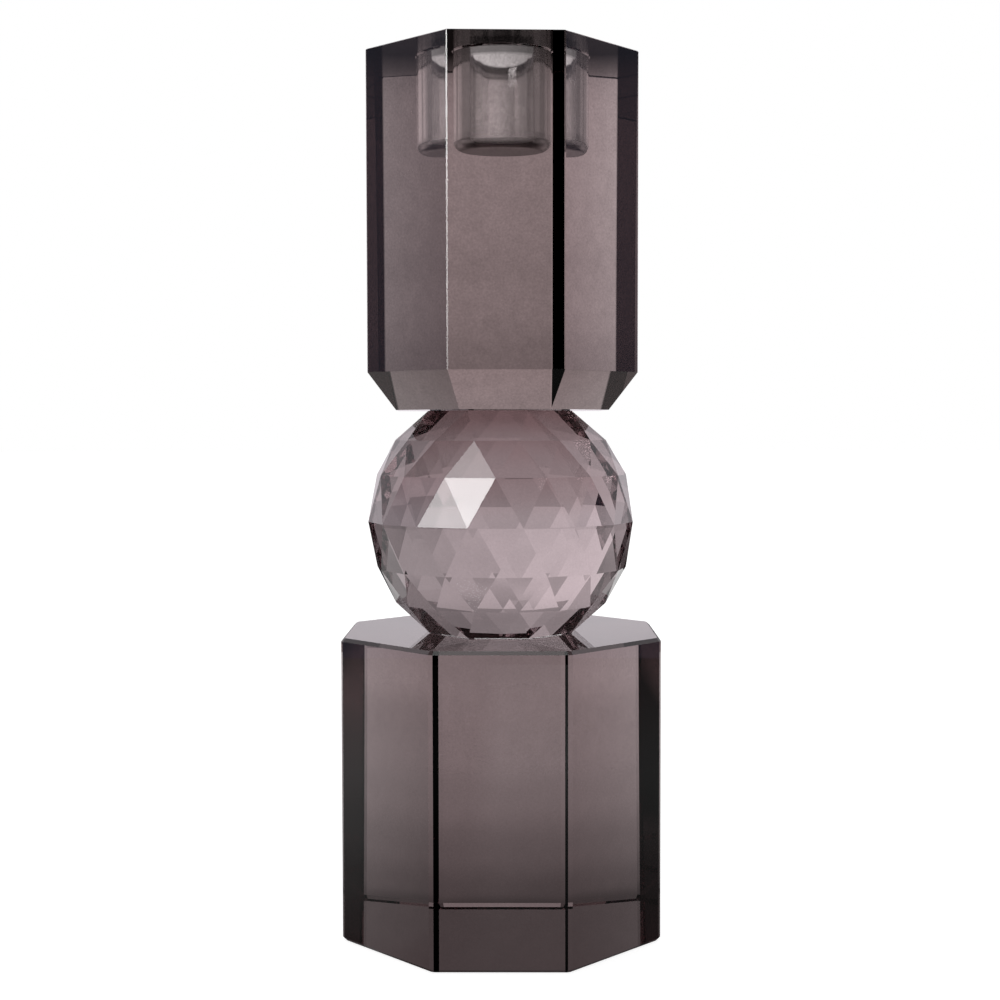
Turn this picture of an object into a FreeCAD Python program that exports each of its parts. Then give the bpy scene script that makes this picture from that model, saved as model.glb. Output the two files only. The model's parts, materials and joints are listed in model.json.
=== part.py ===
import FreeCAD, Part
import math
import os

import Sketcher

# A candlestick of smoke-tinted crystal glass: an octagonal base, a faceted ball and an octagonal
# candle cup, bonded on one upright axis. Z is up and the origin is the middle of the underside.

doc = FreeCAD.newDocument("glass_candlestick")

# Driving dimensions: name, value in millimetres or degrees, what it is
DIMENSIONS = [
    ("base_across", 73.5, "base block, flat to opposite flat"),
    ("base_height", 70.4, "base block, table to top face"),
    ("base_turn", 0.0, "base block, turn of its front flat about the axis"),
    ("base_arris", 0.6, "base block, ground upright edges"),
    ("base_rim_arris", 0.8, "base block, ground top and bottom edges"),
    ("bond_thickness", 0.15, "each adhesive film"),
    ("bond_margin", 0.4, "adhesive film, how far its corners stop short of the flat's"),
    ("ball_diameter", 63.3, "ball, corner to opposite corner on the equator"),
    ("ball_height", 52.0, "ball, flat to flat"),
    ("ball_flat_radius", 18.1, "ball, middle of a flat to its corners"),
    ("ball_turn", 9.3, "ball, turn of its front equator corner about the axis"),
    ("near_ring_latitude", 20.3, "ball, first ring of corners above and below the equator"),
    ("far_ring_latitude", 37.2, "ball, second ring of corners"),
    ("cup_across", 62.0, "cup block, flat to opposite flat"),
    ("cup_height", 81.5, "cup block, foot to top face"),
    ("cup_turn", 2.6, "cup block, turn of its front flat about the axis"),
    ("cup_arris", 0.2, "cup block, ground upright and top edges"),
    ("foot_bevel_height", 8.6, "cup block, height of the bevel round its foot"),
    ("foot_bevel_inset", 6.4, "cup block, how far the bevel cuts in on each side"),
    ("socket_diameter", 22.5, "candle socket"),
    ("socket_depth", 22.6, "candle socket, top face to floor"),
    ("socket_floor_radius", 2.5, "candle socket, rounding between wall and floor"),
    ("socket_mouth_chamfer", 0.3, "candle socket, break of its mouth"),
]

BLOCK_SIDES = 8
RING_CORNERS = 16
CORNER_STEP = 360 / RING_CORNERS
FRONT = -90

sizes = doc.addObject("Spreadsheet::Sheet", "sizes")
for row, (name, value, note) in enumerate(DIMENSIONS, start=1):
    sizes.set(f"A{row}", note)
    sizes.set(f"B{row}", str(value))
    sizes.setAlias(f"B{row}", name)
doc.recompute()


def size(name):
    return float(getattr(sizes, name))


def new_body(label):
    body = doc.addObject("PartDesign::Body", label)
    body.Label = label
    return body


def ground_plane(body):
    for feature in body.Origin.OriginFeatures:
        if feature.Role == "XY_Plane":
            return feature
    raise RuntimeError("the body has no XY plane")


def level_sketch(body, name, level):
    """An empty sketch lying flat at a level given as an expression."""
    sketch = body.newObject("Sketcher::SketchObject", name)
    sketch.AttachmentSupport = [(ground_plane(body), "")]
    sketch.MapMode = "FlatFace"
    sketch.setExpression("AttachmentOffset.Base.z", level)
    return sketch


def octagon_sketch(body, name, level, across):
    """A regular octagon centred on the axis with one side square to the front."""
    sketch = level_sketch(body, name, level)
    start_radius = 30
    corners = []
    for k in range(BLOCK_SIDES):
        angle = math.radians(FRONT - 180 / BLOCK_SIDES + 360 / BLOCK_SIDES * k)
        corners.append(FreeCAD.Vector(start_radius * math.cos(angle), start_radius * math.sin(angle), 0))
    for k in range(BLOCK_SIDES):
        sketch.addGeometry(Part.LineSegment(corners[k], corners[(k + 1) % BLOCK_SIDES]), False)
    rim = sketch.addGeometry(Part.Circle(FreeCAD.Vector(), FreeCAD.Vector(0, 0, 1), start_radius), True)
    for k in range(BLOCK_SIDES):
        sketch.addConstraint(Sketcher.Constraint("Coincident", k, 2, (k + 1) % BLOCK_SIDES, 1))
        sketch.addConstraint(Sketcher.Constraint("PointOnObject", k, 1, rim))
    for k in range(1, BLOCK_SIDES):
        sketch.addConstraint(Sketcher.Constraint("Equal", 0, k))
    sketch.addConstraint(Sketcher.Constraint("Horizontal", 0))
    sketch.addConstraint(Sketcher.Constraint("Coincident", rim, 3, -1, 1))
    radius = sketch.addConstraint(Sketcher.Constraint("Radius", rim, start_radius))
    sketch.renameConstraint(radius, "corner_radius")
    sketch.setExpression("Constraints.corner_radius", f"({across}) / 2 / cos({180 / BLOCK_SIDES} deg)")
    return sketch


def pad(body, name, sketch, length):
    feature = body.newObject("PartDesign::Pad", name)
    feature.Profile = sketch
    feature.setExpression("Length", length)
    body.Tip = feature
    doc.recompute()
    return feature


def edge_names(shape, wanted):
    """Names of the straight or round edges that a test picks out."""
    return [f"Edge{i}" for i, edge in enumerate(shape.Edges, start=1) if wanted(edge)]


def break_edges(body, name, kind, amount_property, amount, wanted):
    """Chamfers or fillets the picked edges of the body so far."""
    before = body.Tip
    names = edge_names(before.Shape, wanted)
    if not names:
        raise RuntimeError(f"{name} found no edges")
    feature = body.newObject(kind, name)
    feature.Base = (before, names)
    feature.setExpression(amount_property, amount)
    body.Tip = feature
    doc.recompute()
    if feature.Shape.Volume >= before.Shape.Volume and kind == "PartDesign::Chamfer":
        raise RuntimeError(f"{name} took nothing off")
    return feature


def is_upright(edge):
    ends = [v.Point for v in edge.Vertexes]
    if len(ends) != 2:
        return False
    return (ends[0] - ends[1]).normalize().isEqual(FreeCAD.Vector(0, 0, 1), 1e-6) or (
        ends[1] - ends[0]
    ).normalize().isEqual(FreeCAD.Vector(0, 0, 1), 1e-6)


def lies_at(edge, level):
    return all(abs(v.Point.z - level) < 1e-6 for v in edge.Vertexes)


def is_straight(edge):
    return isinstance(edge.Curve, Part.Line)


def turn(body, angle):
    """Turns a body about the axis by an angle given as an expression."""
    body.Placement.Rotation = FreeCAD.Rotation(FreeCAD.Vector(0, 0, 1), 1)
    body.setExpression("Placement.Rotation.Angle", f"{angle} * 1 deg")


def octagonal_film(label, level):
    """A cured adhesive film under or over one of the ball's flats."""
    film = new_body(label)
    across = f"2 * (sizes.ball_flat_radius - sizes.bond_margin) * cos({180 / BLOCK_SIDES} deg)"
    pad(film, label + "_pad", octagon_sketch(film, label + "_outline", "0 mm", across), "sizes.bond_thickness")
    film.setExpression("Placement.Base.z", level)
    turn(film, f"(sizes.ball_turn + {CORNER_STEP / 2} + {180 / BLOCK_SIDES})")
    return film


# Base block

base = new_body("base_block")
pad(base, "base_prism", octagon_sketch(base, "base_outline", "0 mm", "sizes.base_across"), "sizes.base_height")
break_edges(base, "base_upright_arrises", "PartDesign::Chamfer", "Size", "sizes.base_arris", is_upright)
break_edges(
    base,
    "base_rim_arrises",
    "PartDesign::Chamfer",
    "Size",
    "sizes.base_rim_arris",
    lambda e: lies_at(e, 0) or lies_at(e, size("base_height")),
)
turn(base, "sizes.base_turn")

# Adhesive films

octagonal_film("lower_bond", "sizes.base_height")
octagonal_film("upper_bond", "sizes.base_height + sizes.bond_thickness + sizes.ball_height")

# Faceted ball: seven rings of corners joined by flat facets


def ring(radius, height, corners, first):
    """Corners spread evenly round the axis, the first one turned from the front by an angle."""
    points = []
    for k in range(corners):
        angle = math.radians(FRONT + first + 360 / corners * k)
        points.append(FreeCAD.Vector(radius * math.cos(angle), radius * math.sin(angle), height))
    return points


def facet(*corners):
    return Part.Face(Part.makePolygon(list(corners) + [corners[0]]))


def triangle_band(even, odd):
    """Facets between two rings of equal count, where odd lags even by half a step."""
    count = len(even)
    facets = []
    for k in range(count):
        facets.append(facet(even[k], even[(k + 1) % count], odd[(k + 1) % count]))
        facets.append(facet(odd[k], even[k], odd[(k + 1) % count]))
    return facets


def crown_band(flat, outer):
    """Facets between a flat's corners and the ring outside it, which has twice as many corners."""
    count = len(outer)
    facets = []
    for k, corner in enumerate(flat):
        left, right = outer[2 * k], outer[(2 * k + 1) % count]
        facets.append(facet(corner, left, right))
        following = flat[(k + 1) % len(flat)]
        facets.append(facet(corner, right, outer[(2 * k + 2) % count], following))
    return facets


def half_ball(side):
    """The facets from the equator to the top flat (side 1) or the bottom flat (side -1)."""
    radius = size("ball_diameter") / 2
    near = math.radians(size("near_ring_latitude"))
    far = math.radians(size("far_ring_latitude"))
    start = size("ball_turn")
    equator = ring(radius, 0, RING_CORNERS, start)
    near_ring = ring(
        radius * math.cos(near), side * radius * math.sin(near), RING_CORNERS, start - CORNER_STEP / 2
    )
    far_ring = ring(radius * math.cos(far), side * radius * math.sin(far), RING_CORNERS, start)
    flat = ring(
        size("ball_flat_radius"), side * size("ball_height") / 2, BLOCK_SIDES, start + CORNER_STEP / 2
    )
    return (
        triangle_band(equator, near_ring)
        + triangle_band(far_ring, near_ring)
        + crown_band(flat, far_ring)
        + [facet(*flat)]
    )


ball = doc.addObject("Part::Feature", "faceted_ball")
ball.Label = "faceted_ball"
ball_solid = Part.makeSolid(Part.makeShell(half_ball(1) + half_ball(-1)))
if ball_solid.Volume < 0:
    ball_solid.reverse()
ball.Shape = ball_solid
ball_level = size("base_height") + size("bond_thickness") + size("ball_height") / 2
ball.Placement = FreeCAD.Placement(FreeCAD.Vector(0, 0, ball_level), FreeCAD.Rotation())

# Candle cup block

cup = new_body("candle_cup_block")
foot = octagon_sketch(cup, "cup_foot_outline", "0 mm", "sizes.cup_across - 2 * sizes.foot_bevel_inset")
shoulder = octagon_sketch(cup, "cup_outline", "sizes.foot_bevel_height", "sizes.cup_across")
bevel = cup.newObject("PartDesign::AdditiveLoft", "cup_foot_bevel")
bevel.Profile = foot
bevel.Sections = [shoulder]
bevel.Ruled = True
cup.Tip = bevel
doc.recompute()
pad(cup, "cup_prism", shoulder, "sizes.cup_height - sizes.foot_bevel_height")
break_edges(cup, "cup_upright_arrises", "PartDesign::Chamfer", "Size", "sizes.cup_arris", is_upright)
break_edges(
    cup,
    "cup_rim_arris",
    "PartDesign::Chamfer",
    "Size",
    "sizes.cup_arris",
    lambda e: lies_at(e, size("cup_height")),
)

socket_sketch = level_sketch(cup, "socket_outline", "sizes.cup_height")
socket_circle = socket_sketch.addGeometry(
    Part.Circle(FreeCAD.Vector(), FreeCAD.Vector(0, 0, 1), size("socket_diameter") / 2), False
)
socket_sketch.addConstraint(Sketcher.Constraint("Coincident", socket_circle, 3, -1, 1))
socket_width = socket_sketch.addConstraint(
    Sketcher.Constraint("Diameter", socket_circle, size("socket_diameter"))
)
socket_sketch.renameConstraint(socket_width, "width")
socket_sketch.setExpression("Constraints.width", "sizes.socket_diameter")
solid_volume = cup.Shape.Volume
socket = cup.newObject("PartDesign::Pocket", "candle_socket")
socket.Profile = socket_sketch
socket.setExpression("Length", "sizes.socket_depth")
cup.Tip = socket
doc.recompute()
if socket.Shape.Volume >= solid_volume:
    raise RuntimeError("the candle socket was not cut")
floor_level = size("cup_height") - size("socket_depth")
break_edges(
    cup,
    "socket_floor_rounding",
    "PartDesign::Fillet",
    "Radius",
    "sizes.socket_floor_radius",
    lambda e: lies_at(e, floor_level),
)
break_edges(
    cup,
    "socket_mouth_break",
    "PartDesign::Chamfer",
    "Size",
    "sizes.socket_mouth_chamfer",
    lambda e: lies_at(e, size("cup_height")) and not is_straight(e),
)
cup.setExpression("Placement.Base.z", "sizes.base_height + 2 * sizes.bond_thickness + sizes.ball_height")
turn(cup, "sizes.cup_turn")

doc.recompute()
for item in doc.Objects:
    if "Invalid" in item.State or "Error" in item.State:
        raise RuntimeError(f"{item.Name} did not rebuild")

os.makedirs("parts", exist_ok=True)
for label in ("base_block", "lower_bond", "faceted_ball", "upper_bond", "candle_cup_block"):
    piece = doc.getObjectsByLabel(label)[0]
    if piece.Shape.isNull() or not piece.Shape.isValid():
        raise RuntimeError(f"{label} has no valid shape")
    piece.Shape.exportStep(f"parts/{label}.step")
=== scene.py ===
import json
import math

import bmesh
import bpy
from mathutils import Matrix, Vector


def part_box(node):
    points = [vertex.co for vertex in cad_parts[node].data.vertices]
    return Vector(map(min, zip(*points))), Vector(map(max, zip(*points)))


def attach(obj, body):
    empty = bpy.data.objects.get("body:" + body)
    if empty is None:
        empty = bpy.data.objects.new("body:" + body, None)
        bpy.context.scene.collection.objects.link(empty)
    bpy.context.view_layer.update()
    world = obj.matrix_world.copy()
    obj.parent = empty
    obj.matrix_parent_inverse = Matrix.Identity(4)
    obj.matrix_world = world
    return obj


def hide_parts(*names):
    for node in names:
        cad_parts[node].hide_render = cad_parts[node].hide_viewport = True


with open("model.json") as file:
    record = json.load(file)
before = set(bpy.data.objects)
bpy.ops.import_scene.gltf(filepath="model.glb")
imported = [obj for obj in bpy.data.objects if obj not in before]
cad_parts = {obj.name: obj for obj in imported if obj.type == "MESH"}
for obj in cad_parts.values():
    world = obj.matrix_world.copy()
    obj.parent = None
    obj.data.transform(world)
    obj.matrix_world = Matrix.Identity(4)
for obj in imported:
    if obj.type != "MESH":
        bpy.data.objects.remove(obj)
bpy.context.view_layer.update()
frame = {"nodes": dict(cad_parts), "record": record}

MM = 0.001

# The smoke-crystal candlestick: each piece is the CAD solid's own mesh with a glass finish.
# Z is up, the front looks along -Y, everything is in metres. Lists of stops are (position, level)
# pairs, which ramp() joins by a smooth curve.

# ---------------------------------------------------------------- node helpers


def node(tree, kind, **values):
    made = tree.nodes.new(kind)
    for key, value in values.items():
        setattr(made, key, value)
    return made


def feed(tree, socket, value):
    """Gives a socket a plain number or links an output to it."""
    if isinstance(value, (int, float)):
        socket.default_value = value
    else:
        tree.links.new(value, socket)


def math_node(tree, operation, first, second=0.0):
    made = node(tree, "ShaderNodeMath", operation=operation)
    feed(tree, made.inputs[0], first)
    feed(tree, made.inputs[1], second)
    return made.outputs[0]


def plus(tree, first, second):
    return math_node(tree, "ADD", first, second)


def minus(tree, first, second):
    return math_node(tree, "SUBTRACT", first, second)


def times(tree, first, *others):
    product = first
    for factor in others:
        product = math_node(tree, "MULTIPLY", product, factor)
    return product


def larger(tree, first, second):
    return math_node(tree, "MAXIMUM", first, second)


def between(tree, value, low, high):
    """1 where value lies between low and high, 0 elsewhere."""
    over = math_node(tree, "GREATER_THAN", value, low)
    return times(tree, over, math_node(tree, "LESS_THAN", value, high))


def ramp(tree, value, stops, low=0.0, high=1.0):
    """A smooth curve through (position, level) stops, positions between low and high."""
    made = node(tree, "ShaderNodeValToRGB")
    made.color_ramp.interpolation = "EASE"
    elements = made.color_ramp.elements
    while len(elements) < len(stops):
        elements.new(0.5)
    for element, (position, level) in zip(elements, stops):
        element.position = (position - low) / (high - low)
        element.color = (level, level, level, 1)
    scaled = math_node(tree, "DIVIDE", minus(tree, value, low), high - low)
    tree.links.new(scaled, made.inputs[0])
    return made.outputs[0]


def map_range(tree, value, from_low, from_high, to_low, to_high):
    made = node(tree, "ShaderNodeMapRange")
    feed(tree, made.inputs["Value"], value)
    made.inputs["From Min"].default_value = from_low
    made.inputs["From Max"].default_value = from_high
    made.inputs["To Min"].default_value = to_low
    made.inputs["To Max"].default_value = to_high
    return made.outputs["Result"]


def axes(tree, place):
    """The X, Y and Z outputs of a position or a direction."""
    split = node(tree, "ShaderNodeSeparateXYZ")
    tree.links.new(place, split.inputs[0])
    return split.outputs


def object_place(tree):
    return node(tree, "ShaderNodeTexCoord").outputs["Object"]


def noise(tree, place, scale, detail=2.0, stretch=(1, 1, 1)):
    """Noise with about scale cells a metre, drawn out along an axis where stretch is below 1."""
    mapping = node(tree, "ShaderNodeMapping")
    mapping.inputs["Scale"].default_value = stretch
    tree.links.new(place, mapping.inputs["Vector"])
    made = node(tree, "ShaderNodeTexNoise")
    made.inputs["Scale"].default_value = scale
    made.inputs["Detail"].default_value = detail
    tree.links.new(mapping.outputs["Vector"], made.inputs["Vector"])
    return made.outputs["Fac"]


def specks(tree, place, scale, radius, share):
    """1 in small round dots, one in some cells of a random pattern, 0 elsewhere."""
    cells = node(tree, "ShaderNodeTexVoronoi")
    cells.inputs["Scale"].default_value = scale
    tree.links.new(place, cells.inputs["Vector"])
    chosen = node(tree, "ShaderNodeSeparateColor")
    tree.links.new(cells.outputs["Color"], chosen.inputs[0])
    near = math_node(tree, "LESS_THAN", cells.outputs["Distance"], radius * scale)
    return times(tree, near, math_node(tree, "LESS_THAN", chosen.outputs[0], share))


# ---------------------------------------------------------------- crystal

# unevenness of the tint: cells a metre and detail of the noise, then the stretch of it that counts
GRAIN_NOISE = (1900, 3)
GRAIN_SPREAD = (0.25, 0.75)
CLOUD_NOISE = (260, 2)
CLOUD_SPREAD = (0.3, 0.7)

# dust lying on the polished faces: cells a metre, radius of a speck, share of cells with a speck
DUST = (70, 0.13 * MM, 0.3)
LINT = (210, 0.05 * MM, 0.25)
DUST_ROUGHNESS = 0.25

# uneven polish
POLISH_NOISE = (45, 2)
POLISH_SPREAD = (0.3, 0.7)
POLISH_ROUGHNESS = 0.006

# faint waves left by the polishing wheel
WAVE_NOISE = (55, 1)
WAVE_HEIGHT = 0.0015 * MM

# upright streaks left by the drill on the socket wall: cells a metre, detail, height
BROAD_STREAKS = (260, 1, 0.3 * MM)
THIN_STREAKS = (900, 2, 0.04 * MM)
UPRIGHT = (1, 1, 0.01)
WALL_ROUGHNESS = 0.12
FLOOR_ROUGHNESS = 0.32

# the share that the volume node takes out of its most absorbed colour
MOST_ABSORBED = 0.7


def new_material(name):
    mat = bpy.data.materials.new(name)
    mat.use_nodes = True
    return mat, mat.node_tree, mat.node_tree.nodes["Principled BSDF"]


def drill_streaks(tree, place):
    layers = []
    for cells, detail, height in (BROAD_STREAKS, THIN_STREAKS):
        layers.append(times(tree, noise(tree, place, cells, detail, UPRIGHT), height))
    return plus(tree, *layers)


def crystal(name, absorb, ior, grain, painted_shade_and_tint=None, bore=None):
    """Cut and polished crystal.

    absorb is the absorption per metre for red, green and blue, and grain how uneven it looks up close.
    The fourth argument, where given, makes three extra factors on the colour from the position, which
    paint shade and for the ball also give its own smoke colour, and bore a 0 to 1 mask of a drill-streaked
    socket wall and one of its softer floor.
    """
    mat, tree, shader = new_material(name)
    shader.inputs["IOR"].default_value = ior
    shader.inputs["Transmission Weight"].default_value = 1
    place = object_place(tree)

    fine = map_range(tree, noise(tree, place, *GRAIN_NOISE), *GRAIN_SPREAD, 1 - grain, 1)
    cloudy = map_range(tree, noise(tree, place, *CLOUD_NOISE), *CLOUD_SPREAD, 1 - grain / 2, 1)
    shade = times(tree, fine, cloudy)
    colour = node(tree, "ShaderNodeCombineColor")
    factors = painted_shade_and_tint(tree, place) if painted_shade_and_tint else (1, 1, 1)
    for channel, factor in zip(colour.inputs, factors):
        tree.links.new(times(tree, shade, factor), channel)
    tree.links.new(colour.outputs[0], shader.inputs["Base Color"])

    dust = larger(tree, specks(tree, place, *DUST), specks(tree, place, *LINT))
    uneven = noise(tree, place, *POLISH_NOISE)
    roughness = map_range(tree, uneven, *POLISH_SPREAD, 0.0, POLISH_ROUGHNESS)
    roughness = plus(tree, roughness, times(tree, dust, DUST_ROUGHNESS))
    height = times(tree, noise(tree, place, *WAVE_NOISE), WAVE_HEIGHT)
    if bore:
        wall, floor = bore(tree, place)
        roughness = plus(tree, roughness, times(tree, wall, WALL_ROUGHNESS))
        roughness = plus(tree, roughness, times(tree, floor, FLOOR_ROUGHNESS))
        height = plus(tree, height, times(tree, wall, drill_streaks(tree, place)))
    tree.links.new(roughness, shader.inputs["Roughness"])
    bump = node(tree, "ShaderNodeBump")
    bump.inputs["Distance"].default_value = 1
    tree.links.new(height, bump.inputs["Height"])
    tree.links.new(bump.outputs["Normal"], shader.inputs["Normal"])

    density = max(absorb) / MOST_ABSORBED
    volume = node(tree, "ShaderNodeVolumeAbsorption")
    volume.inputs["Color"].default_value = (*(1 - a / density for a in absorb), 1)
    volume.inputs["Density"].default_value = density
    tree.links.new(volume.outputs[0], tree.nodes["Material Output"].inputs["Volume"])
    return mat


# ---------------------------------------------------------------- painted shade of each piece, and the ball's smoke colour

BASE_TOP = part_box("base_block")[1].z
BALL_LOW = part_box("faceted_ball")[0].z
BALL_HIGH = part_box("faceted_ball")[1].z
CUP_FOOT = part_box("candle_cup_block")[0].z
CUP_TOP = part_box("candle_cup_block")[1].z

socket_mount = next(m for m in frame["record"]["mounts"] if m["name"] == "candle_socket")
SOCKET_RADIUS = socket_mount["dims"]["r_mm"] * MM
WALL_SLACK = 0.1 * MM
MOUTH_SLACK = 0.8 * MM

# the socket's depths below the cup's top: its rim, where the floor's curve starts and is full, its end
SOCKET_RIM = 0.2 * MM
FLOOR_START = 19 * MM
FLOOR_FULL = 21 * MM
SOCKET_REACH = 23.5 * MM

# where the painted shade on the socket's wall starts and is darkest: by X, and by the depth below the top
LEFT_WALL = (-6 * MM, -10 * MM)
LEFT_WALL_PAINTED_SHADE = 0.4
MOUTH_START = 2.4 * MM
MOUTH_FULL = 1.6 * MM
MOUTH_PAINTED_SHADE = 0.85

# the band of a rim arris, as distances from the face it breaks
ARRIS_FROM = 0.02 * MM
ARRIS_TO = 0.78 * MM
# how much painted shade darkens the top arris and the foot arris
TOP_ARRIS_PAINTED_SHADE = 0.8
FOOT_ARRIS_PAINTED_SHADE = 0.6

# the ball's own smoke for red, green and blue, and its painted shade by the height above its middle in mm
BALL_SMOKE = (0.555, 0.476, 0.496)
BALL_PAINTED_SHADE = [
    (-25, 0.5), (-22, 0.55), (-13.5, 1), (-5, 1), (1, 1), (8, 0.62), (17, 0.6), (25, 0.3),
]
BALL_SPAN = 30 * MM
# how much warmer the painted shade is in the ball's upper half
UPPER_WARMTH = 0.35

# the cup's painted shade by the height above its foot in mm
CUP_PAINTED_SHADE = [(0, 1), (8.55, 1), (8.65, 0.66), (14, 0.72), (20.5, 0.92), (25.5, 1), (82, 1)]
CUP_SPAN = 82 * MM


def in_metres(stops):
    return [(position * MM, level) for position, level in stops]


def socket_wall_and_floor(tree, place):
    flat = node(tree, "ShaderNodeVectorMath", operation="MULTIPLY")
    tree.links.new(place, flat.inputs[0])
    flat.inputs[1].default_value = (1, 1, 0)
    reach = node(tree, "ShaderNodeVectorMath", operation="LENGTH")
    tree.links.new(flat.outputs[0], reach.inputs[0])
    height = axes(tree, place)["Z"]
    inside = math_node(tree, "LESS_THAN", reach.outputs["Value"], SOCKET_RADIUS + WALL_SLACK)
    inside = times(tree, inside, between(tree, height, CUP_TOP - SOCKET_REACH, CUP_TOP - SOCKET_RIM))
    low = map_range(tree, height, CUP_TOP - FLOOR_START, CUP_TOP - FLOOR_FULL, 0, 1)
    floor = times(tree, inside, low)
    wall = minus(tree, inside, floor)
    return wall, floor


def ball_smoke_and_painted_shade(tree, place):
    """Painted shade: the ball is darker towards the flats it is bonded by, a little warmer in its upper
    half, on top of its own smoke colour.
    """
    middle = (BALL_LOW + BALL_HIGH) / 2
    height = axes(tree, place)["Z"]
    ball_shade_level = ramp(tree, minus(tree, height, middle), in_metres(BALL_PAINTED_SHADE), -BALL_SPAN, BALL_SPAN)
    upper = math_node(tree, "GREATER_THAN", height, middle)
    warm_shade_level = math_node(tree, "POWER", ball_shade_level, minus(tree, 1, times(tree, upper, UPPER_WARMTH)))
    return tuple(times(tree, level, smoke) for level, smoke in zip((warm_shade_level, ball_shade_level, ball_shade_level), BALL_SMOKE))


def cup_painted_shade(tree, place):
    """Painted shade: the cup is darker just above its bevelled foot, and its socket on the left and at the
    mouth.
    """
    side, _, height = axes(tree, place)
    foot = ramp(tree, minus(tree, height, CUP_FOOT), in_metres(CUP_PAINTED_SHADE), 0, CUP_SPAN)
    wall, _ = socket_wall_and_floor(tree, place)
    left = map_range(tree, side, *LEFT_WALL, 0, LEFT_WALL_PAINTED_SHADE)
    mouth = map_range(tree, height, CUP_TOP - MOUTH_START, CUP_TOP - MOUTH_FULL, 0, MOUTH_PAINTED_SHADE)
    painted_dark = times(tree, wall, larger(tree, left, mouth))
    shade = times(tree, foot, minus(tree, 1, painted_dark))
    return shade, shade, shade


def base_painted_shade(tree, place):
    """The arrises round the rims of the base are darker than its faces: painted shade."""
    height = axes(tree, place)["Z"]
    top = between(tree, height, BASE_TOP - ARRIS_TO, BASE_TOP - ARRIS_FROM)
    foot = between(tree, height, ARRIS_FROM, ARRIS_TO)
    painted_dark = plus(tree, times(tree, top, TOP_ARRIS_PAINTED_SHADE), times(tree, foot, FOOT_ARRIS_PAINTED_SHADE))
    shade = minus(tree, 1, painted_dark)
    return shade, shade, shade


BLOCK_INDEX = 1.52
BALL_INDEX = 1.53
BOND_INDEX = 1.5
CUP_GRAIN = 0.30
BASE_GRAIN = 0.13
BALL_GRAIN = 0.10
BOND_GRAIN = 0.08

# absorption per metre for red, green and blue
CUP_ABSORB = (21.5, 26.3, 26.1)
BASE_ABSORB = (16.5, 20.5, 20.1)
BALL_ABSORB = (4.0, 5.0, 4.8)
CLEAR_BOND_ABSORB = (5.0, 6.0, 6.0)
# the upper film's dark absorption is painted shade at the joint between ball and cup
JOINT_SHADE_BOND_ABSORB = (60.0, 68.0, 68.0)

smoke_cup = crystal(
    "smoke_crystal_cup", CUP_ABSORB, BLOCK_INDEX, CUP_GRAIN, cup_painted_shade, socket_wall_and_floor
)
smoke_base = crystal("smoke_crystal_base", BASE_ABSORB, BLOCK_INDEX, BASE_GRAIN, base_painted_shade)
smoke_ball = crystal("smoke_crystal_ball", BALL_ABSORB, BALL_INDEX, BALL_GRAIN, ball_smoke_and_painted_shade)
clear_bond = crystal("clear_adhesive", CLEAR_BOND_ABSORB, BOND_INDEX, BOND_GRAIN)
joint_shade_bond = crystal("adhesive_painted_shade", JOINT_SHADE_BOND_ABSORB, BOND_INDEX, BOND_GRAIN)

# ---------------------------------------------------------------- pieces

# facets that meet at less than this count as one round surface
ROUND_ANGLE = math.radians(28)
LEVEL = 0.999
NO_DISTANCE = 0.001 * MM
GAP = 0.01 * MM


def glass_piece(cad_node, name, material, gap=0.0):
    """The CAD node's own mesh, welded and flat-shaded, standing for that node.

    gap takes that much off the top and the bottom of a film, so that its faces don't lie in its
    neighbours' faces.
    """
    mesh = frame["nodes"][cad_node].data.copy()
    mesh.name = name
    lo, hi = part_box(cad_node)
    bm = bmesh.new()
    bm.from_mesh(mesh)
    bmesh.ops.remove_doubles(bm, verts=bm.verts, dist=NO_DISTANCE)
    bmesh.ops.recalc_face_normals(bm, faces=bm.faces)
    for face in bm.faces:
        face.smooth = False
    for edge in bm.edges:
        edge.smooth = edge.is_manifold and edge.calc_face_angle(0) < ROUND_ANGLE
    for vert in bm.verts:
        if abs(vert.co.z - hi.z) < NO_DISTANCE:
            vert.co.z -= gap
        if abs(vert.co.z - lo.z) < NO_DISTANCE:
            vert.co.z += gap
    bm.to_mesh(mesh)
    bm.free()
    if mesh.has_custom_normals:
        mesh.normals_split_custom_set([(0, 0, 0)] * len(mesh.loops))
    mesh.materials.clear()
    mesh.materials.append(material)
    for polygon in mesh.polygons:
        polygon.material_index = 0
    piece = bpy.data.objects.new(name, mesh)
    bpy.context.scene.collection.objects.link(piece)
    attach(piece, "root")
    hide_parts(cad_node)
    return piece


def smooth_socket(piece):
    """The round socket shades smooth, where everything else is flat cut faces."""
    for polygon in piece.data.polygons:
        corners = [piece.data.vertices[i].co for i in polygon.vertices]
        round_wall = all(corner.xy.length < SOCKET_RADIUS + MOUTH_SLACK for corner in corners)
        level = abs(polygon.normal.z) > LEVEL
        if round_wall and polygon.center.z > CUP_TOP - SOCKET_REACH and not level:
            polygon.use_smooth = True


glass_piece("base_block", "base_glass", smoke_base)
glass_piece("lower_bond", "lower_bond_film", clear_bond, GAP)
glass_piece("faceted_ball", "ball_glass", smoke_ball)
# the upper film is darkened as painted shade at the joint between ball and cup
glass_piece("upper_bond", "upper_bond_film", joint_shade_bond, GAP)
smooth_socket(glass_piece("candle_cup_block", "cup_glass", smoke_cup))

# ---------------------------------------------------------------- studio

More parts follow.
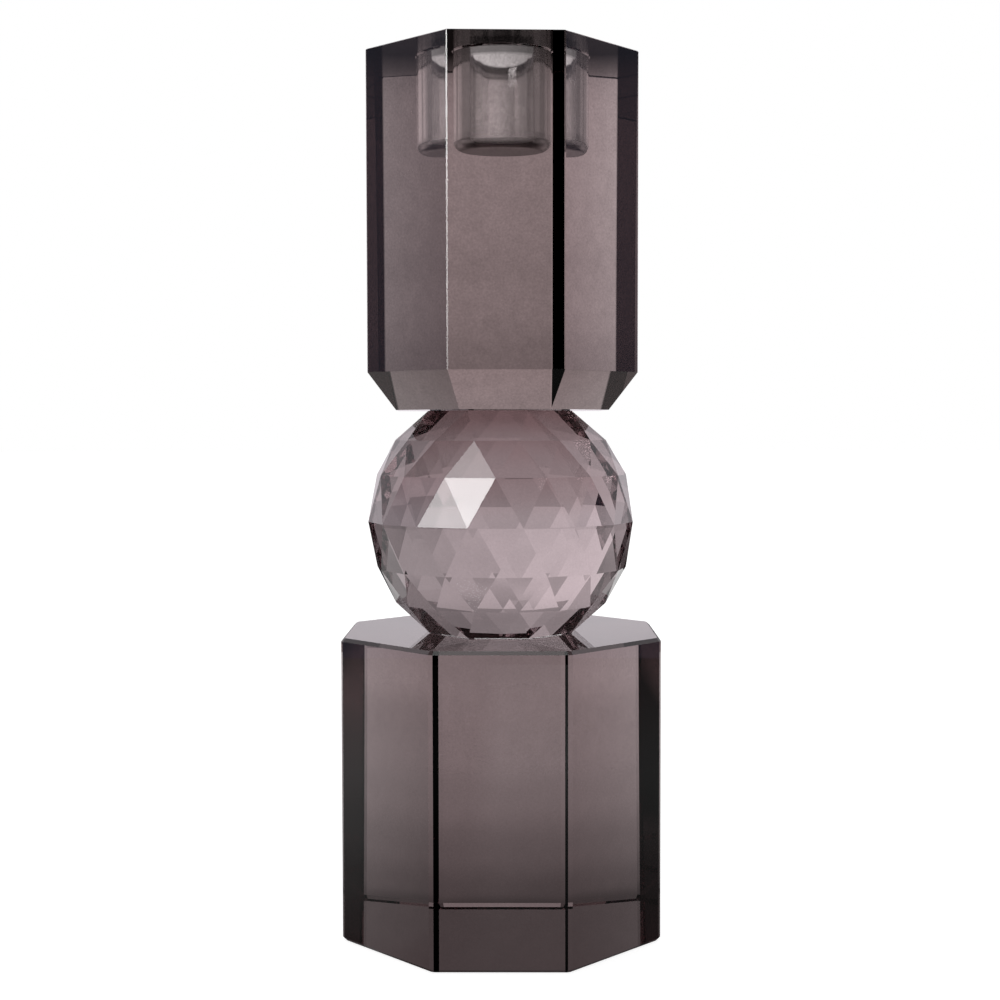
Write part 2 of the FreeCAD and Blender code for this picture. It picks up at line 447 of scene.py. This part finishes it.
scene = bpy.context.scene
scene.view_settings.view_transform = "Standard"
scene.view_settings.look = "None"
BOUNCES = 32
scene.cycles.max_bounces = BOUNCES
scene.cycles.transmission_bounces = BOUNCES
scene.cycles.glossy_bounces = BOUNCES
scene.cycles.transparent_max_bounces = BOUNCES
scene.cycles.caustics_refractive = True
scene.cycles.caustics_reflective = True
scene.cycles.sample_clamp_indirect = 4
scene.cycles.use_denoising = True

ALMOST_NOTHING = 0.001

# The room by the upward part of the direction (-1 straight down, 1 straight up)
ROOM_BY_HEIGHT = [
    (-1, 0.02), (-0.235, 0.02), (-0.214, 0.5), (-0.1, 0.58), (-0.02, 0.8), (0.045, 0.9),
    (0.08, 0.81), (0.105, 0.78), (0.13, 0.87), (0.17, 0.9), (0.2, 0.88), (0.235, 0.58),
    (0.275, 0.58), (0.295, 0.9), (0.37, 1.0), (0.5, 0.6), (0.62, 0.6), (0.7, 1), (1, 1),
]
# and by how far ahead it lies (-1 behind the onlooker, 1 straight ahead)
ROOM_BY_SIDE = [(-1, 0.4), (0, 0.5), (0.4, 0.42), (0.6, 0.5), (0.82, 0.97), (1, 1.0)]
ROOM_GAIN = 1.32
SIDE_LEAN = 0.6
RIGHT_LEAN = 0.35
MOST_LEAN = 0.42

# a little light low down at both sides
LOW_LIGHT_BY_SIDE = [(0, 0), (0.28, 0), (0.38, 0.2), (1, 0.2)]
LOW_LIGHT_BY_HEIGHT = [(-1, 0), (-0.5, 0), (-0.35, 1), (-0.2, 0), (1, 0)]


def make_room():
    """What the glass sees through itself: a bright room ahead, dimmer at the sides and dark low down."""
    world = bpy.data.worlds.new("studio")
    scene.world = world
    world.use_nodes = True
    tree = world.node_tree
    background = tree.nodes["Background"]
    to_right, to_back, upward = axes(tree, node(tree, "ShaderNodeTexCoord").outputs["Generated"])
    level_squared = plus(tree, times(tree, to_right, to_right), times(tree, to_back, to_back))
    level_reach = math_node(tree, "SQRT", level_squared)
    ahead = math_node(tree, "DIVIDE", to_back, larger(tree, level_reach, ALMOST_NOTHING))
    by_height = ramp(tree, upward, ROOM_BY_HEIGHT, -1, 1)
    by_side = ramp(tree, ahead, ROOM_BY_SIDE, -1, 1)
    only_right = times(tree, larger(tree, to_right, 0), RIGHT_LEAN)
    lean = math_node(tree, "MINIMUM", plus(tree, times(tree, to_right, SIDE_LEAN), only_right), MOST_LEAN)
    tilt = minus(tree, 1, times(tree, lean, larger(tree, ahead, 0)))
    low_light = ramp(tree, math_node(tree, "ABSOLUTE", to_right), LOW_LIGHT_BY_SIDE)
    low_light = times(tree, low_light, ramp(tree, upward, LOW_LIGHT_BY_HEIGHT, -1, 1))
    light = plus(tree, times(tree, by_height, by_side, tilt), low_light)
    tree.links.new(times(tree, light, ROOM_GAIN), background.inputs["Strength"])
    background.inputs["Color"].default_value = (1, 1, 1, 1)
    world.cycles_visibility.camera = False
    world.cycles_visibility.glossy = False


def seen_by(obj, camera=False, glossy=False, transmission=False):
    obj.visible_camera = camera
    obj.visible_diffuse = False
    obj.visible_glossy = glossy
    obj.visible_transmission = transmission
    obj.visible_volume_scatter = False
    obj.visible_shadow = False


def stage_piece(name, mesh, material):
    obj = bpy.data.objects.new(name, mesh)
    scene.collection.objects.link(obj)
    mesh.materials.append(material)
    return obj


def bmesh_piece(name, bm, material):
    mesh = bpy.data.meshes.new(name)
    bm.to_mesh(mesh)
    bm.free()
    return stage_piece(name, mesh, material)


def plane(name, width, depth, place, material, facing=(0, 0, 1)):
    mesh = bpy.data.meshes.new(name)
    w, d = width / 2, depth / 2
    mesh.from_pydata([(-w, -d, 0), (w, -d, 0), (w, d, 0), (-w, d, 0)], [], [(0, 1, 2, 3)])
    obj = stage_piece(name, mesh, material)
    z = Vector(facing).normalized()
    x = Vector((0, 0, 1)).cross(z)
    x = x.normalized() if x.length > 0.01 else Vector((1, 0, 0))
    pose = Matrix((x, z.cross(x), z)).transposed().to_4x4()
    pose.translation = Vector(place)
    obj.matrix_world = pose
    return obj


def glow(name, strength, colour=(1, 1, 1)):
    """A light-giving surface. Returns the material, its tree and its emission node."""
    mat = bpy.data.materials.new(name)
    mat.use_nodes = True
    tree = mat.node_tree
    tree.nodes.remove(tree.nodes["Principled BSDF"])
    emission = node(tree, "ShaderNodeEmission")
    emission.inputs["Color"].default_value = (*colour, 1)
    emission.inputs["Strength"].default_value = strength
    tree.links.new(emission.outputs[0], tree.nodes["Material Output"].inputs["Surface"])
    return mat, tree, emission


FLOOR_SIZE = 18
FLOOR_GREY = 0.5
FLOOR_GLOW = 0.84
BACKDROP_RADIUS = 8
BACKDROP_GLOW = 1.0


def make_paper():
    """Pale paper floor and backdrop, as the camera sees them."""
    floor_mat, _, shader = new_material("floor_paper")
    shader.inputs["Base Color"].default_value = (FLOOR_GREY, FLOOR_GREY, FLOOR_GREY, 1)
    shader.inputs["Roughness"].default_value = 1
    shader.inputs["Specular IOR Level"].default_value = 0
    shader.inputs["Emission Color"].default_value = (1, 1, 1, 1)
    shader.inputs["Emission Strength"].default_value = FLOOR_GLOW
    seen_by(plane("floor", FLOOR_SIZE, FLOOR_SIZE, (0, 0, 0), floor_mat), camera=True)
    bm = bmesh.new()
    bmesh.ops.create_uvsphere(bm, u_segments=48, v_segments=24, radius=BACKDROP_RADIUS)
    seen_by(bmesh_piece("backdrop", bm, glow("backdrop_paper", BACKDROP_GLOW)[0]), camera=True)


# the table top's light by the distance from the foot in metres
TABLE_REACH = 0.475
TABLE_EDGE = 0.465
TABLE_DEPTH = 0.2 * MM
TABLE_BY_REACH = [
    (0, 0.5), (0.033, 0.5), (0.037, 0.14), (0.05, 0.28), (0.085, 0.41), (0.143, 0.61),
    (0.218, 0.735), (0.323, 0.79), (TABLE_EDGE, 0.74),
]
# and by the direction (-1 towards the onlooker, 1 away)
TABLE_BY_TURN = [(-1, 0.3), (-0.4, 0.36), (0.1, 0.5), (0.6, 0.9), (0.8, 1), (1, 1)]
FRONT_DIM = [(0, 1), (0.2, 1), (0.4, 0.5), (TABLE_EDGE, 0.4)]
BACK_LEAN = [(0, 0.6), (0.25, 0.55), (0.38, 0.4), (TABLE_EDGE, 0.4)]
FRONT_LEAN = 0.4
FAR_SIDES = [(0, 0), (0.28, 0), (0.4, 0.85), (TABLE_EDGE, 0.85)]
FRONT_GAIN = [(0, 0.8), (0.12, 0.9), (0.16, 1.15), (0.2, 1.6), (0.25, 2.5), (TABLE_EDGE, 2.5)]
# the dimmer left part by X, and the directions between which the front part fades in
FRONT_LEFT = (-12 * MM, -2 * MM)
FRONT_LEFT_LEVEL = 0.08
FRONT_FADE = (-0.6, -0.85)


def table_light(tree):
    """Shaded close to the foot, brightest a hand's width off behind, dim on the onlooker's side."""
    place = object_place(tree)
    x, y, _ = axes(tree, place)
    radius = node(tree, "ShaderNodeVectorMath", operation="LENGTH")
    tree.links.new(place, radius.inputs[0])
    reach = larger(tree, radius.outputs["Value"], ALMOST_NOTHING)
    to_right = math_node(tree, "DIVIDE", x, reach)
    to_back = math_node(tree, "DIVIDE", y, reach)
    behind = larger(tree, to_back, 0)
    not_behind = minus(tree, 1, behind)
    front_dim = plus(tree, times(tree, ramp(tree, reach, FRONT_DIM), not_behind), behind)

    # it gets dimmer to the right, and lighter again far out at both sides
    back_lean = times(tree, larger(tree, to_right, 0), ramp(tree, reach, BACK_LEAN))
    lean = plus(tree, times(tree, back_lean, behind), times(tree, to_right, FRONT_LEAN, not_behind))
    far_sides = times(tree, math_node(tree, "ABSOLUTE", to_right), ramp(tree, reach, FAR_SIDES))
    lean = plus(tree, minus(tree, 1, lean), times(tree, far_sides, behind))
    light = times(tree, ramp(tree, reach, TABLE_BY_REACH), ramp(tree, to_back, TABLE_BY_TURN, -1, 1))
    light = times(tree, light, lean, front_dim)

    # towards the onlooker it is dimmer on the left and keeps its brightness further out on the right
    left = map_range(tree, x, *FRONT_LEFT, FRONT_LEFT_LEVEL, 1)
    share = map_range(tree, to_back, *FRONT_FADE, 0, 1)
    gain = minus(tree, times(tree, ramp(tree, reach, FRONT_GAIN), left), 1)
    return times(tree, light, plus(tree, times(tree, gain, share), 1))


def make_table_top():
    """The table as the glass sees it: a glowing disc with painted light and a painted shadow round the
    foot.
    """
    mat, tree, emission = glow("table_painted_light", 1.0)
    tree.links.new(table_light(tree), emission.inputs["Strength"])
    bm = bmesh.new()
    bmesh.ops.create_circle(bm, cap_ends=True, segments=96, radius=TABLE_REACH)
    table_top = bmesh_piece("table_top", bm, mat)
    table_top.location.z = -TABLE_DEPTH
    seen_by(table_top, glossy=True, transmission=True)


FLAG_SIDES = 8
FLAG_HEIGHT = 33 * MM
FLAG_INNER = 36.9 * MM
FLAG_OUTER = 170 * MM
FLAG_FADE = 60 * MM
FLAG_FRONT = 0.06
FLAG_BACK = 0.25


def flag_ring(bm, half_width):
    corner_reach = half_width / math.cos(math.pi / FLAG_SIDES)
    turns = [(k + 0.5) * 2 * math.pi / FLAG_SIDES for k in range(FLAG_SIDES)]
    places = [(corner_reach * math.sin(turn), corner_reach * math.cos(turn)) for turn in turns]
    return [bm.verts.new((*place, FLAG_HEIGHT)) for place in places]


def make_foot_shade():
    """The shaded space round the foot, met only by light leaving the base block upwards."""
    mat, tree, emission = glow("foot_shade", FLAG_BACK)
    _, y, _ = axes(tree, object_place(tree))
    light = map_range(tree, y, -FLAG_FADE, FLAG_FADE, FLAG_FRONT, FLAG_BACK)
    tree.links.new(light, emission.inputs["Strength"])
    one_sided = node(tree, "ShaderNodeMixShader")
    clear = node(tree, "ShaderNodeBsdfTransparent")
    tree.links.new(node(tree, "ShaderNodeNewGeometry").outputs["Backfacing"], one_sided.inputs[0])
    tree.links.new(emission.outputs[0], one_sided.inputs[1])
    tree.links.new(clear.outputs[0], one_sided.inputs[2])
    tree.links.new(one_sided.outputs[0], tree.nodes["Material Output"].inputs["Surface"])

    bm = bmesh.new()
    inner = flag_ring(bm, FLAG_INNER)
    outer = flag_ring(bm, FLAG_OUTER)
    for k in range(FLAG_SIDES):
        after = (k + 1) % FLAG_SIDES
        bm.faces.new((inner[k], inner[after], outer[after], outer[k]))
    bmesh.ops.recalc_face_normals(bm, faces=bm.faces)
    for face in bm.faces:
        if face.normal.z > 0:
            face.normal_flip()
    seen_by(bmesh_piece("foot_shade", bm, mat), transmission=True)


WALL_RADIUS = 1.3
WALL_HALF_ANGLE = math.radians(74)
WALL_HEIGHT = 2.2
WALL_COLUMNS = 48
WALL_GLOW = 0.85
MAUVE = (1.0, 0.93, 0.985)


def make_back_wall():
    """The pale wall behind, as the glass mirrors it at a glancing angle."""
    mesh = bpy.data.meshes.new("back_wall")
    verts = []
    for k in range(WALL_COLUMNS + 1):
        angle = WALL_HALF_ANGLE * (2 * k / WALL_COLUMNS - 1)
        foot = (WALL_RADIUS * math.sin(angle), WALL_RADIUS * math.cos(angle))
        verts += [(*foot, 0.0), (*foot, WALL_HEIGHT)]
    faces = [(2 * k, 2 * k + 2, 2 * k + 3, 2 * k + 1) for k in range(WALL_COLUMNS)]
    mesh.from_pydata(verts, [], faces)
    seen_by(stage_piece("back_wall", mesh, glow("wall_paper", WALL_GLOW, MAUVE)[0]), glossy=True)


CARD_DISTANCE = 0.9
CARD_CENTRE = Vector((0, 0, 100 * MM))
VIOLET = (0.88, 0.84, 1.15)
KEY_STOPS = [(0, 0.25), (0.3, 0.55), (0.55, 1.0), (0.85, 1.0), (1, 0.6)]


def card(name, azimuth, elevation, width, height, strength, colour=(1, 1, 1), stops=None):
    """A light-giving card seen only in reflections, standing in a direction from the object and facing it.

    stops, where given, grade its light from its foot (0) to its head (1).
    """
    a, e = math.radians(azimuth), math.radians(elevation)
    out = Vector((math.sin(a) * math.cos(e), math.cos(a) * math.cos(e), math.sin(e)))
    mat, tree, emission = glow(name, strength, colour)
    if stops:
        _, y, _ = axes(tree, object_place(tree))
        graded = ramp(tree, map_range(tree, y, -height / 2, height / 2, 0, 1), stops)
        tree.links.new(times(tree, graded, strength), emission.inputs["Strength"])
    seen_by(plane(name, width, height, out * CARD_DISTANCE + CARD_CENTRE, mat, -out), glossy=True)


make_room()
make_paper()
make_table_top()
make_foot_shade()
make_back_wall()
card("left_card", -90, 8, 0.5, 0.6, 0.26, colour=VIOLET)
card("right_card", 90, 8, 0.5, 0.6, 0.2, colour=VIOLET)
card("key_softbox", -138, 15, 0.56, 0.44, 13.2, stops=KEY_STOPS)
card("key_spill", -141, 45, 0.3, 0.5, 4)
card("top_softbox", 180, 84, 0.5, 0.5, 1.5)

# ---------------------------------------------------------------- camera

CAM_DISTANCE = 364.0 * MM
CAM_HEIGHT = 118.3 * MM
CAM_PITCH = math.radians(2.66)
CAM_ROLL = math.radians(-0.1)
CAM_AZIMUTH = math.radians(0.43)
CAM_SHIFT = -0.27 * MM
CAM_NEAR = 10 * MM
SENSOR_WIDTH_MM = 36
FOCAL_LENGTH_MM = 55.044


def make_camera():
    data = bpy.data.cameras.new("camera")
    camera = bpy.data.objects.new("camera", data)
    scene.collection.objects.link(camera)
    scene.camera = camera
    data.sensor_width = SENSOR_WIDTH_MM
    data.lens = FOCAL_LENGTH_MM
    data.clip_start = CAM_NEAR
    forward = Vector((0, math.cos(CAM_PITCH), -math.sin(CAM_PITCH)))
    right = Vector((1, 0, 0))
    up = right.cross(forward)
    c, s = math.cos(CAM_ROLL), math.sin(CAM_ROLL)
    right, up = right * c + up * s, up * c - right * s
    pose = Matrix((right, up, -forward)).transposed().to_4x4()
    pose.translation = Vector((CAM_SHIFT, -CAM_DISTANCE, CAM_HEIGHT))
    camera.matrix_world = Matrix.Rotation(CAM_AZIMUTH, 4, "Z") @ pose


make_camera()
